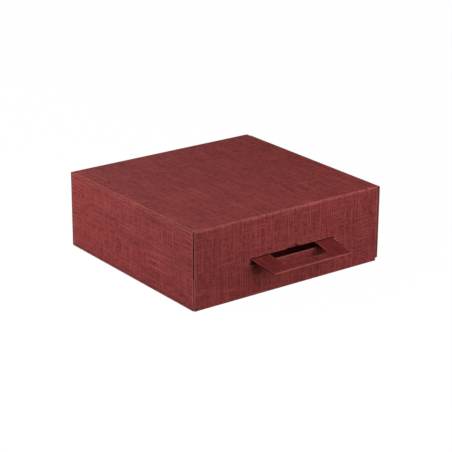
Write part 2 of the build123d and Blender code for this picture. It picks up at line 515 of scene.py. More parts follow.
@dataclass
class Surface:
    """A closed mesh in millimetres, with each face's finish and each point's place on the blank."""

    points: np.ndarray
    faces: list[list[int]]
    finishes: np.ndarray
    blank: np.ndarray
    wear_and_highlight: np.ndarray

    def volume(self) -> float:
        """The signed volume: the sum over the faces' triangles of their triple products, over six.

        Returns:
            Cubic millimetres, above zero where the faces look outwards.
        """
        total = 0.0
        for corners in {len(face) for face in self.faces}:
            index = np.array([face for face in self.faces if len(face) == corners])
            first = self.points[index[:, 0]]
            for k in range(1, corners - 1):
                second, third = self.points[index[:, k]], self.points[index[:, k + 1]]
                total += float((first * np.cross(second, third)).sum()) / 6
        return total

    def outward(self) -> "Surface":
        """Turns the faces outwards.

        Returns:
            The same surface.
        """
        if self.volume() < 0:
            self.faces = [face[::-1] for face in self.faces]
        return self


def join(surfaces: list[Surface]) -> Surface:
    """Puts several closed surfaces into one mesh.

    Args:
        surfaces: the surfaces, which keep their own points.

    Returns:
        One surface with all of their points and faces.
    """
    faces: list[list[int]] = []
    start = 0
    for surface in surfaces:
        faces += [[start + point for point in face] for face in surface.faces]
        start += len(surface.points)
    parts = [[getattr(s, name) for s in surfaces] for name in ("points", "finishes", "blank", "wear_and_highlight")]
    points, finishes, blank, wear_and_highlight = [np.concatenate(part) for part in parts]
    return Surface(points, faces, finishes, blank, wear_and_highlight)


class Edge(Enum):
    """How an edge of a panel is finished."""

    CUT = "cut, with the flutes open"
    FOLD = "half of a crease"
    BUTT = "flat against the next piece"


@dataclass(frozen=True)
class EdgeRow:
    """A point of an edge's outline: its depth, its painted wear and highlight, the finish of the next face, and its
    insets.

    The inset is fixed + opened * (cut + over * across): opened is 0 on a stretch that is joined and 1
    where it is cut, and over is 0 where the cut runs along the flutes and 1 where it crosses them.
    """

    depth: float
    wear_and_highlight: float
    finish: Finish
    fixed: float = 0.0
    cut: float = 0.0
    across: float = 0.0


HALF_CREASE_POINTS = 6
# A cut liner's rounded lip: the inset and the depth of three points.
LIP = ((0.30, 0.0), (0.09, 0.05), (0.0, 0.18))
# Depth of the groove where the cut runs along the flutes: under the show liner, and over the hidden one.
GROOVE_ALONG = (0.5, 1.9)


def cut_rows() -> list[EdgeRow]:
    """A knife cut: two liners with rounded lips, and between them a groove down to the next flute.

    Returns:
        The edge's points, from the show face to the hidden one.
    """
    liner, thickness, groove, slope = BOARD.liner, BOARD.thickness, BOARD.groove, 0.02
    shallow, deep = GROOVE_ALONG
    # The groove's faces take the near-black finish: dyed board darkened as painted shade.
    paper, fluting = Finish.PAPER_EDGE_AND_HIGHLIGHT, Finish.FLUTING_AND_SHADE
    # The lips get full wear: rubbed fibres and a painted highlight along the cut.
    lip = [EdgeRow(depth, 1.0, paper, cut=inset) for inset, depth in LIP]
    hidden_lip = [replace(row, depth=thickness - row.depth) for row in lip[::-1]]
    return lip + [
        EdgeRow(liner, 0.6, fluting),
        EdgeRow(liner + slope, 0.0, fluting, cut=shallow, across=groove - shallow),
        EdgeRow(thickness - liner - slope, 0.0, fluting, cut=deep, across=groove - deep),
        EdgeRow(thickness - liner, 0.6, paper),
    ] + hidden_lip[:-1] + [replace(hidden_lip[-1], finish=Finish.REVERSE)]


def fold_rows() -> list[EdgeRow]:
    """Half of a crease: the arc turns 45 degrees about a centre one fold radius under the show face.

    The show face is painted lighter, the further it turns: wear of the creased coating and a painted highlight along
    the fold.

    Returns:
        The edge's points, from the show face to the hidden one.
    """
    radius, thickness = BOARD.fold_radius, BOARD.thickness
    flat_wear_and_highlight, turned_wear_and_highlight = 0.35, 0.55
    rows = []
    for share in np.linspace(0, 1, HALF_CREASE_POINTS):
        turn = math.radians(45 * share)
        finish = Finish.FLUTING_AND_SHADE if share == 1 else Finish.LINEN
        rows.append(EdgeRow(radius - radius * math.cos(turn), flat_wear_and_highlight + turned_wear_and_highlight * share, finish,
                            fixed=radius - radius * math.sin(turn)))
    return rows + [EdgeRow(thickness, 0.0, Finish.REVERSE, fixed=thickness)]


def butt_rows() -> list[EdgeRow]:
    """A plain end that stands flat against the next piece."""
    return [EdgeRow(0.0, 0.5, Finish.FLUTING_AND_SHADE), EdgeRow(BOARD.thickness, 0.0, Finish.REVERSE)]


EDGE_ROWS = {Edge.CUT: cut_rows(), Edge.FOLD: fold_rows(), Edge.BUTT: butt_rows()}
# Insets of the two samples next to an edge, from the far one in, and their wear: real rubbing and a painted highlight
# along the edge.
NEAR_EDGE = {Edge.CUT: ((4.0, 0.0), (1.1, 0.3)), Edge.BUTT: ((0.6, 0.0), (0.3, 0.1)),
             Edge.FOLD: ((7.0, 0.0), (4.0, 0.2))}


@dataclass
class Section:
    """The board's cross-section, a closed loop of points.

    A point's row holds its share of the length, its side, the fixed, cut and across parts of its inset,
    its depth, its painted wear and highlight, and its finish, as carry and EdgeRow use them.
    """

    rows: np.ndarray

    @classmethod
    def of_board(cls, first: Edge, last: Edge, samples: int, show: Finish = Finish.LINEN,
                 hidden: Finish = Finish.REVERSE) -> "Section":
        """Lays out the loop: over the show face, down the last edge, back, and up the first edge.

        Args:
            first: the edge at along = 0.
            last: the edge at the far end.
            samples: how many points the middle of each face has.
            show: the finish of the show face.
            hidden: the finish of the hidden face.

        Returns:
            The section.
        """
        dressed = {Finish.LINEN: show, Finish.REVERSE: hidden}
        low, high, under = NEAR_EDGE[first][0][0], NEAR_EDGE[last][0][0], BOARD.thickness

        def down(edge: Edge, share: float, side: float) -> list[tuple]:
            """An edge's own points, from the show face to the hidden one."""
            return [(share, side, row.fixed, row.cut, row.across, row.depth, row.wear_and_highlight,
                     dressed.get(row.finish, row.finish).value) for row in EDGE_ROWS[edge]]

        def near(edge: Edge, share: float, side: float, depth: float, face: Finish) -> list[tuple]:
            """The two points of a face that stand next to an edge, the far one first."""
            return [(share, side, inset, 0.0, 0.0, depth, wear_and_highlight, face.value) for inset, wear_and_highlight in NEAR_EDGE[edge]]

        def middle(depth: float, face: Finish) -> list[tuple]:
            """A face's points between those near its edges, evenly spaced from the first to the last."""
            return [(share, 1.0, low * (1 - share) - high * share, 0.0, 0.0, depth, 0.0, face.value)
                    for share in np.linspace(0, 1, samples + 2)[1:-1]]

        rows = near(first, 0.0, 1.0, 0.0, show)[::-1] + middle(0.0, show) + near(last, 1.0, -1.0, 0.0, show)
        rows += down(last, 1.0, -1.0)
        rows += near(last, 1.0, -1.0, under, hidden)[::-1] + middle(under, hidden)[::-1]
        rows += near(first, 0.0, 1.0, under, hidden)
        up = down(first, 0.0, 1.0)
        following = [row[-1] for row in up[:-1]][::-1] + [show.value]
        rows += [row[:-1] + (finish,) for row, finish in zip(up[::-1], following)]
        return cls(np.array(rows, float))

    @classmethod
    def of_fluting(cls) -> "Section":
        """The fluted sheet's own section: a thin strip from one end of the flutes to the other.

        Returns:
            The section.
        """
        half = BOARD.medium / 2
        corners = ((0.0, -half), (1.0, -half), (1.0, half), (0.0, half))
        rows = [(share, 0.0, 0.0, 0.0, 0.0, depth, 0.0, Finish.PAPER_EDGE_AND_HIGHLIGHT.value) for share, depth in corners]
        return cls(np.array(rows, float))


Column = np.ndarray | float


@dataclass
class Stations:
    """Where the section stands at each station, as arrays with one row for each station.

    opened_first and opened_last say how far the edges there are cut, from 0 where they are joined to 1,
    and over_first and over_last whether the cut runs along the flutes, 0, or across them, 1.
    """

    origin: np.ndarray
    across: np.ndarray
    length: Column
    depth: np.ndarray
    blank_origin: np.ndarray
    blank_across: np.ndarray
    opened_first: Column = 1.0
    opened_last: Column = 1.0
    over_first: Column = 0.0
    over_last: Column = 0.0
    lift: Column = 0.0
    closed: bool = False


def carry(stations: Stations, section: Section) -> Surface:
    """Carries a section through its stations, and closes the two ends if the stations don't.

    A point's distance along the panel is  share * length + side * inset,  with the inset as EdgeRow
    gives it, and its depth is the section's depth plus the station's lift.

    Args:
        stations: where the section stands.
        section: the loop to carry.

    Returns:
        The closed surface, its faces outwards.
    """
    count = len(stations.origin)

    def column(value: Column) -> np.ndarray:
        """A value for each station, as a column."""
        return np.broadcast_to(np.asarray(value, float), (count,))[:, None]

    share, side, fixed, cut, across, depth, wear_and_highlight, finish = section.rows.T
    loop = len(share)
    opened = np.where(side > 0, column(stations.opened_first), column(stations.opened_last))
    over = np.where(side > 0, column(stations.over_first), column(stations.over_last))
    along = share * column(stations.length) + side * (fixed + opened * (cut + over * across))
    down = depth + column(stations.lift)
    spread = np.broadcast_to(stations.across, (count, 3))[:, None]
    sink = np.broadcast_to(stations.depth, (count, 3))[:, None]
    points = stations.origin[:, None] + along[..., None] * spread + down[..., None] * sink
    blank_across = np.broadcast_to(stations.blank_across, (count, 2))[:, None]
    blank = stations.blank_origin[:, None] + along[..., None] * blank_across
    t = np.arange(count if stations.closed else count - 1)[:, None]
    k = np.arange(loop)[None]
    ahead, beside = (t + 1) % count, (k + 1) % loop
    quads = np.stack([t * loop + k, ahead * loop + k, ahead * loop + beside, t * loop + beside], -1)
    finishes = np.broadcast_to(finish, (len(t), loop)).ravel().astype(int)
    faces = quads.reshape(-1, 4).tolist()
    if not stations.closed:
        ring = np.arange(loop)
        faces += [ring.tolist(), ((count - 1) * loop + ring[::-1]).tolist()]
        finishes = np.append(finishes, [Finish.FLUTING_AND_SHADE.value] * 2)
    wear_and_highlight_all = np.broadcast_to(wear_and_highlight, (count, loop)).ravel()
    return Surface(points.reshape(-1, 3), faces, finishes, blank.reshape(-1, 2), wear_and_highlight_all).outward()


@dataclass(frozen=True)
class Run:
    """Stations' places along a strip: along and depth of its show face, and along of its hidden face."""

    along: np.ndarray
    sink: np.ndarray
    under: np.ndarray

    @classmethod
    def of_strip(cls, length: float, fold_first: bool, fold_last: bool, start: float = 0.0,
                 stop: float | None = None, samples: int = 22) -> "Run":
        """A strip between two corners, each of them half of a crease or a plain end.

        Over a crease the show face turns round a centre one fold radius below it, from 45 degrees to
        none, while the hidden face goes straight from the inside of the corner.

        Args:
            length: distance between the corners.
            fold_first: whether the strip starts in a crease.
            fold_last: whether it ends in one.
            start: where it starts, if plain.
            stop: where it ends, if plain.
            samples: stations on the flat stretch.

        Returns:
            The run.
        """
        radius, thickness = BOARD.fold_radius, BOARD.thickness
        turn = np.radians(np.linspace(45.0, 0.0, HALF_CREASE_POINTS))
        arc = np.stack([radius - radius * np.sin(turn), radius - radius * np.cos(turn),
                        np.linspace(thickness, radius, HALF_CREASE_POINTS)])
        end = length if stop is None else stop
        low = radius if fold_first else start
        high = length - radius if fold_last else end
        flat = np.linspace(low, high, samples)
        inner = flat[1:-1]
        parts = [arc if fold_first else np.array([[start], [0.0], [start]]),
                 np.stack([inner, np.zeros_like(inner), inner])]
        mirrored = np.stack([length - arc[0], arc[1], length - arc[2]])[:, ::-1]
        parts.append(mirrored if fold_last else np.array([[end], [0.0], [end]]))
        return cls(*np.concatenate(parts, axis=1))


def strip(run: Run, corner: tuple, onward: tuple, inward: tuple, across: tuple, width: float,
          section: Section, blank: tuple[float, float], grain_onward: bool, **edges: Column) -> Surface:
    """Carries the section along a run, with the section's length across it.

    Args:
        run: the stations' places.
        corner: the corner that the run starts from, at the section's first edge.
        onward: unit direction of the run.
        inward: unit direction from the show face into the board.
        across: unit direction from the first edge to the last one.
        width: the section's length.
        section: the board's section.
        blank: the place on the blank of the corner.
        grain_onward: whether the grain follows the run, or crosses it.
        edges: opened and over values for the stations.

    Returns:
        The closed surface.
    """
    corner_, onward_, inward_ = (np.array(v, float) for v in (corner, onward, inward))
    show = corner_ + np.outer(run.along, onward_) + np.outer(run.sink, inward_)
    hidden = corner_ + np.outer(run.under, onward_) + BOARD.thickness * inward_
    depth = (hidden - show) / BOARD.thickness
    place = np.array(blank, float) + np.outer(run.along, (0.0, 1.0) if grain_onward else (1.0, 0.0))
    spread = np.array((1.0, 0.0) if grain_onward else (0.0, 1.0))
    return carry(Stations(show, np.array(across, float), width, depth, place, spread, **edges), section)


@dataclass(frozen=True)
class Plane:
    """A panel's own plane: a runs across the grain, s along it, and depth into the board."""

    origin: tuple
    a: tuple
    s: tuple
    inward: tuple
    blank: tuple[float, float]

    def at(self, places: np.ndarray) -> np.ndarray:
        """Points on the show face, from their (a, s) places."""
        return np.array(self.origin, float) + places @ np.array([self.a, self.s], float)

    def plate(self, core: np.ndarray, rim: np.ndarray, section: Section, closed: bool,
              **edges: Column) -> Surface:
        """A flat plate between two outlines: the section stands on straight lines from core to rim.

        Args:
            core: the inner outline's (a, s) places.
            rim: the outer outline's, one for each of the core's.
            section: the board's section, from core to rim.
            closed: whether the outlines are closed.
            edges: opened and over values for the stations.

        Returns:
            The closed surface.
        """
        step = rim - core
        length = np.linalg.norm(step, axis=1)
        unit = step / length[:, None]
        across = unit @ np.array([self.a, self.s], float)
        return carry(Stations(self.at(core), across, length, np.array(self.inward, float),
                              core + np.array(self.blank), unit, closed=closed, **edges), section)

    def fluting(self, a: np.ndarray, start: np.ndarray | float, end: np.ndarray | float) -> Surface:
        """The fluted sheet, from start to end along the flutes: it waves as a sine of a through the depth.

        Args:
            a: places across the flutes, in order.
            start: where the sheet starts along the flutes, at each of them.
            end: where it ends.

        Returns:
            The closed surface.
        """
        start_ = np.broadcast_to(np.asarray(start, float), a.shape)
        end_ = np.broadcast_to(np.asarray(end, float), a.shape)
        places = np.stack([a, start_], 1)
        lift = BOARD.thickness / 2 + BOARD.flute_height * np.sin(2 * np.pi * a / BOARD.flute_pitch)
        return carry(Stations(self.at(places), np.array(self.s, float), end_ - start_,
                              np.array(self.inward, float), places + np.array(self.blank),
                              np.array((0.0, 1.0)), lift=lift), Section.of_fluting())


def columns(low: float, high: float) -> np.ndarray:
    """Places across the flutes, a fixed number for each flute."""
    step = BOARD.flute_pitch / BOARD.flute_steps
    return np.linspace(low, high, int(round((high - low) / step)) + 1)


def corner_arc(corner: np.ndarray, before: np.ndarray, after: np.ndarray, radius: float,
               steps: int) -> np.ndarray:
    """A rounded corner: points of the arc that touches both sides.

    The centre lies on the corner's bisector at  radius / sin(half the angle),  and each point is the
    centre plus the radius in a direction that turns evenly from one side's normal to the other's.

    Args:
        corner: the sharp corner.
        before: a point on the side that comes in.
        after: a point on the side that goes out.
        radius: the arc's radius.
        steps: how many points.

    Returns:
        The points, from the side before to the side after.
    """
    back = (before - corner) / np.linalg.norm(before - corner)
    ahead = (after - corner) / np.linalg.norm(after - corner)
    half = math.acos(float(np.clip(back @ ahead, -1, 1))) / 2
    bisector = (back + ahead) / np.linalg.norm(back + ahead)
    centre = corner + bisector * radius / math.sin(half)
    first = corner + back * radius / math.tan(half) - centre
    last = corner + ahead * radius / math.tan(half) - centre
    share = np.linspace(0, 1, steps)[:, None]
    sweep = math.pi - 2 * half
    points = (np.sin((1 - share) * sweep) * first + np.sin(share * sweep) * last) / math.sin(sweep)
    return centre + points


# Pieces


@dataclass
class Piece:
    """A finished piece: its mesh, the body it rides on, and the CAD nodes that it stands for."""

    name: str
    surface: Surface
    body: str
    nodes: tuple[str, ...] = ()
    slot: str = "burgundy_linen"
    bends_to: str = ""
    bend_start: tuple = ()
    bend_end: tuple = ()


class Workshop:
    """Turns surfaces into Blender objects on their bodies."""

    def __init__(self, finishes: FinishSet) -> None:
        """Keeps the finishes that the pieces wear."""
        self.finishes = finishes

    def mesh(self, name: str, surface: Surface) -> bpy.types.Mesh:
        """Makes the mesh in metres, with its blank map, its painted wear and highlight, and its sharp edges.

        Args:
            name: the mesh's name.
            surface: what to make it from.

        Returns:
            The mesh, with the four finishes of the board.
        """
        mesh = bpy.data.meshes.new(name)
        mesh.from_pydata((surface.points * MM).tolist(), [], surface.faces)
        mesh.polygons.foreach_set("material_index", surface.finishes.astype(np.int32))
        corners = np.empty(len(mesh.loops), np.int32)
        mesh.loops.foreach_get("vertex_index", corners)
        blank = mesh.uv_layers.new(name=BLANK_MAP, do_init=False)
        blank.uv.foreach_set("vector", (surface.blank[corners] * MM).astype(np.float32).ravel())
        wear_and_highlight = mesh.attributes.new(WEAR_AND_HIGHLIGHT, "FLOAT", "POINT")
        wear_and_highlight.data.foreach_set("value", surface.wear_and_highlight.astype(np.float32))
        mesh.polygons.foreach_set("use_smooth", np.ones(len(mesh.polygons), bool))
        mesh.set_sharp_from_angle(angle=SHARP)
        for material in self.finishes.materials:
            mesh.materials.append(material)
        mesh.update()
        return mesh

    def make(self, piece: Piece) -> bpy.types.Object:
        """Puts a piece into the scene in place of its CAD nodes: on its body, or, if it has a bend, fixed where it
        stands.

        Args:
            piece: the piece to make.

        Returns:
            Its object.
        """
        made = bpy.data.objects.new(piece.name, self.mesh(piece.name, piece.surface))
        bpy.context.scene.collection.objects.link(made)
        if piece.bends_to:
            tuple(piece.bend_start)
            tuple(piece.bend_end)
            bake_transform(made)
        else:
            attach(made, piece.body)
        if piece.nodes:
            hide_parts(*piece.nodes)
        log.info("%s: %d faces on %s", piece.name, len(piece.surface.faces), piece.body)
        return made


@dataclass
class Sleeve:
    """The sleeve's fixed panels: locking panel, bottom, back and top, one blank from front to front."""

    sizes: SleeveSizes = SLEEVE
    panel_samples: int = 26
    post_samples: int = 12
    post_columns: int = 80
    sill_points: int = 41
    band_margin: float = 1.6

    def panel(self, run: Run, corner_y: float, corner_z: float, onward: tuple, inward: tuple,
              blank_start: float) -> Surface:
        """A panel right across the sleeve, with its cut edges at the two open ends.

        Args:
            run: the stations' places.
            corner_y: Y of the corner that the panel starts from.
            corner_z: Z of that corner.
            onward: unit direction of the run.
            inward: unit direction from the show face into the board.
            blank_start: where the panel starts along the blank.

        Returns:
            The closed surface.
        """
        half = self.sizes.length / 2
        section = Section.of_board(Edge.CUT, Edge.CUT, samples=self.panel_samples)
        return strip(run, (-half, corner_y, corner_z), onward, inward, (1, 0, 0), self.sizes.length,
                     section, (-half, blank_start), grain_onward=True)

    def bottom(self) -> Surface:
        """The bottom, creased to the locking panel and to the back."""
        run = Run.of_strip(self.sizes.back - self.sizes.locking_face, True, True)
        return self.panel(run, self.sizes.locking_face, 0.0, (0, 1, 0), (0, 0, 1), PLACES.bottom)

    def back(self) -> Surface:
        """The back, creased at both ends."""
        run = Run.of_strip(self.sizes.height, True, True, samples=10)
        return self.panel(run, self.sizes.back, 0.0, (0, 0, 1), (0, -1, 0), PLACES.back)

    def top(self) -> Surface:
        """The top, creased to the back, and ending where the flap's crease starts."""
        run = Run.of_strip(self.sizes.depth, True, False, stop=self.sizes.depth - BOARD.fold_radius)
        return self.panel(run, self.sizes.back, self.sizes.height, (0, -1, 0), (0, 0, -1), PLACES.top)

    def locking_panel(self) -> Surface:
        """The panel behind the flap: creased to the bottom, and cut along its top edge.

        The hand hole's cut runs on below the handle's crease, so above the cut's sill the panel is two
        posts. At its ends the sill curves up into them. A band under each cut edge holds the open flutes.

        Returns:
            The closed surfaces of its parts.
        """
        size, half, face, middle = HANDLE, self.sizes.length / 2, self.sizes.locking_face, self.sizes.closure_x
        band, deep, inset = BOARD.groove + self.band_margin, BOARD.sheet_depth, BOARD.sheet_inset
        hole, corner = size.hole_root / 2, size.hole_corner
        top, foot = size.hinge_z - size.crease_reach, size.finger_foot
        up, inward, start_up = (0, 0, 1), (0, 1, 0), PLACES.locking_panel
        plane = Plane((0, face, 0), (1, 0, 0), up, inward, (0.0, start_up))
        brim = Section.of_board(Edge.BUTT, Edge.CUT, samples=0)
        post_section = Section.of_board(Edge.CUT, Edge.CUT, samples=self.post_samples)

        def under_cut(a: np.ndarray, low: float, high: np.ndarray, opened: Column) -> Surface:
            """The band of board from a level up to a cut edge, over the places a."""
            return plane.plate(np.stack([a, np.full_like(a, low)], 1), np.stack([a, high], 1), brim, False,
                               opened_last=opened, over_last=1.0)

        lower = Run.of_strip(foot - band, True, False, samples=8)
        a = hole * np.sin(np.linspace(-math.pi / 2, math.pi / 2, self.sill_points))
        past = np.maximum(np.abs(a) - hole + corner, 0.0)
        sill = foot + corner - np.sqrt(corner ** 2 - past ** 2)
        parts = [self.panel(lower, face, 0.0, up, inward, start_up),
                 under_cut(middle + a, foot - band, sill, 1.0),
                 plane.fluting(columns(middle - hole + corner, middle + hole - corner), foot - deep, foot - inset)]
        for start, end in ((-half, middle - hole), (middle + hole, half)):
            post = Run.of_strip(top, False, False, start=foot - band, stop=top - band, samples=6)
            parts.append(strip(post, (start, face, 0), up, inward, (1, 0, 0), end - start, post_section,
                               (start, start_up), grain_onward=True))
            a = np.linspace(start, end, self.post_columns)
            joined = np.abs(a - middle) < size.half_width(size.crease_reach)
            parts.append(under_cut(a, top - band, np.full_like(a, top), np.where(joined, 0.0, 1.0)))
            sheet = columns(start + BOARD.sheet_side, end - BOARD.sheet_side)
            parts.append(plane.fluting(sheet, top - deep, top - inset))
        return join(parts)

    def pieces(self) -> list[Piece]:
        """The four panels.

        Returns:
            A piece for each.
        """
        made = {"bottom_panel": self.bottom(), "back_panel": self.back(), "top_panel": self.top(),
                "locking_panel": self.locking_panel()}
        return [Piece(f"linen_sleeve_{name}", surface, "sleeve", (f"sleeve_{name}",))
                for name, surface in made.items()]


@dataclass
class FrontFlap:
    """The flap in front, its crease to the top, and the window and thumb notch in it."""

    sizes: SleeveSizes = SLEEVE
    side_points: int = 5
    foot_points: int = 24
    arc_points: int = 4
    notch_points: int = 15
    slot_end: float = 2.0
    outline_end: float = 4.0
    crease_corner: float = 0.02
    sheet_margin: float = 1.0
    steep: float = 1.2
    slanted_groove: float = 0.4

    def plane(self) -> Plane:
        """The flap's show face: a is X, and s runs down from the top corner."""
        return Plane((0, self.sizes.front, self.sizes.height), (1, 0, 0), (0, 0, -1), (0, 1, 0),
                     (0.0, PLACES.top + self.sizes.depth))

    def notch(self, a: np.ndarray) -> np.ndarray:
        """Height of the window's upper edge above the slot line: a circle's cap in the middle."""
        radius, rise = self.sizes.notch_radius, self.sizes.notch_rise
        return np.maximum(np.sqrt(np.maximum(radius ** 2 - a ** 2, 0.0)) - (radius - rise), 0.0)

    def slot_shares(self) -> np.ndarray:
        """Places along the window's upper edge, closer together over the notch.

        Returns:
            The places, from -1 at its left end to 1 at its right one.
        """
        half = self.sizes.window_top / 2 - self.slot_end
        chord = math.sqrt(self.sizes.notch_radius ** 2 - (self.sizes.notch_radius - self.sizes.notch_rise) ** 2)
        notch = chord * np.sin(np.linspace(-math.pi / 2, math.pi / 2, self.notch_points))
        left = np.linspace(-half, -chord, 9)[:-1]
        return np.concatenate([left, notch, -left[::-1]]) / half

    def loop(self, corners: np.ndarray, radii: tuple, upper: np.ndarray) -> np.ndarray:
        """An outline round four corners, from the low left one on, with the same points on each side.

        Args:
            corners: low left, low right, high right and high left (a, s) places.
            radii: the corners' radii.
            upper: the high side's points, from right to left.

        Returns:
            The outline.
        """
        count = [self.foot_points, self.side_points, 0, self.side_points]
        parts = []
        for k in range(4):
            corner, before, after = corners[k], corners[k - 1], corners[(k + 1) % 4]
            parts.append(corner_arc(corner, before, after, radii[k], self.arc_points))
            share = np.linspace(0, 1, count[k] + 2)[1:-1, None]
            parts.append(upper if k == 2 else corner + (after - corner) * share)
        return np.concatenate(parts)

    def window(self) -> np.ndarray:
        """The window's outline with the thumb notch in its upper edge.

        Returns:
            Its (a, s) places.
        """
        size, top = self.sizes, self.sizes.height - self.sizes.slot_z
        foot = top + size.window_height
        a = size.closure_x + np.array([-size.window_foot, size.window_foot, size.window_top, -size.window_top]) / 2
        corners = np.stack([a, [foot, foot, top, top]], 1)
        across = self.slot_shares()[::-1] * (size.window_top / 2 - self.slot_end)
        upper = np.stack([size.closure_x + across, top - self.notch(across)], 1)
        return self.loop(corners, (size.window_corner,) * 4, upper)

    def outline(self) -> np.ndarray:
        """The flap's own outline below its crease.

        Returns:
            Its (a, s) places, one for each of the window's.
        """
        size, half = self.sizes, self.sizes.length / 2
        low, high = size.height - size.flap_foot, BOARD.fold_radius
        corners = np.array([[-half, low], [half, low], [half, high], [-half, high]])
        shares = self.slot_shares()[::-1]
        upper = np.stack([shares * (half - self.outline_end), np.full_like(shares, high)], 1)
        return self.loop(corners, (size.flap_corner,) * 2 + (self.crease_corner,) * 2, upper)

    def board(self) -> Surface:
        """The flap between the window and its outline, cut everywhere but along its crease.

        Returns:
            The closed surface.
        """
        window, outline = self.window(), self.outline()
        down = outline[:, 1]
        is_top = down < BOARD.fold_radius + 1.5 * self.crease_corner
        is_foot = down > self.sizes.height - self.sizes.flap_foot - self.sizes.flap_corner / 2
        is_steep = np.abs(np.gradient(window[:, 1])) > self.steep * np.abs(np.gradient(window[:, 0]))
        return self.plane().plate(window, outline, Section.of_board(Edge.CUT, Edge.CUT, samples=12), True,
                                  opened_last=np.where(is_top, 0.0, 1.0), over_last=np.where(is_foot, 1.0, 0.0),
                                  over_first=np.where(is_steep, self.slanted_groove, 1.0))

    def fluting(self) -> list[Surface]:
        """The fluted sheet where a cut crosses it: at the foot, and above and below the window.

        Returns:
            Three closed surfaces.
        """
        size, plane = self.sizes, self.plane()
        half, deep, inset = size.length / 2 - BOARD.sheet_side, BOARD.sheet_depth, BOARD.sheet_inset
        foot = size.height - size.flap_foot
        slot = size.height - size.slot_z
        reach = size.window_foot / 2 - self.sheet_margin
        across = columns(-reach, reach)
        slope = size.window_height / (size.window_foot - size.window_top) * 2
        slant = np.clip((np.abs(across) - size.window_top / 2) * slope, 0, size.window_height)
        upper = slot + slant - self.notch(across)
        a = across + size.closure_x
        lower = slot + size.window_height
        return [plane.fluting(columns(-half, half), foot - deep, foot - inset),
                plane.fluting(a, upper - deep, upper - inset),
                plane.fluting(a, lower + inset, lower + deep)]

    def crease(self) -> Surface:
        """The whole crease between the top and the flap: a quarter turn round its centre.

        The show face turns from straight up to straight forward, and the hidden face goes straight
        into the inside corner and out again.

        Returns:
            The closed surface.
        """
        radius, thickness, half = BOARD.fold_radius, BOARD.thickness, self.sizes.length / 2
        turn = np.radians(np.linspace(0, 90, 13))
        zeros = np.zeros_like(turn)
        centre = np.array([-half, self.sizes.front + radius, self.sizes.height - radius])
        show = centre + radius * np.stack([zeros, -np.sin(turn), np.cos(turn)], 1)
        share = np.degrees(turn) / 45
        y = self.sizes.front + radius - (radius - thickness) * np.minimum(share, 1)
        z = self.sizes.height - thickness - (radius - thickness) * np.maximum(share - 1, 0)
        hidden = np.stack([zeros - half, y, z], 1)
        depth = (hidden - show) / thickness
        blank = np.stack([zeros - half, PLACES.top + self.sizes.depth - radius + radius * share], 1)
        section = Section.of_board(Edge.CUT, Edge.CUT, samples=26)
        made = carry(Stations(show, np.array((1.0, 0, 0)), self.sizes.length, depth, blank,
                              np.array((1.0, 0))), section)
        # A painted highlight along the crease, strongest halfway round the turn, laid over its wear.
        made.wear_and_highlight = np.maximum(made.wear_and_highlight, 0.8 * np.repeat(np.sin(2 * turn), len(section.rows)))
        return made

    def pieces(self) -> list[Piece]:
        """The flap, and the crease between the top and the flap.

        Returns:
            The two pieces.
        """
        radius, thickness = BOARD.fold_radius, BOARD.thickness
        front, top = self.sizes.front, self.sizes.height
        start = (0, (front + radius) * MM, (top - thickness) * MM)
        end = (0, (front + thickness) * MM, (top - radius) * MM)
        return [
            Piece("linen_front_flap", join([self.board()] + self.fluting()), "front_flap",
                  ("sleeve_front_flap",)),
            Piece("linen_front_flap_crease", self.crease(), "sleeve", bends_to="front_flap",
                  bend_start=start, bend_end=end),
        ]


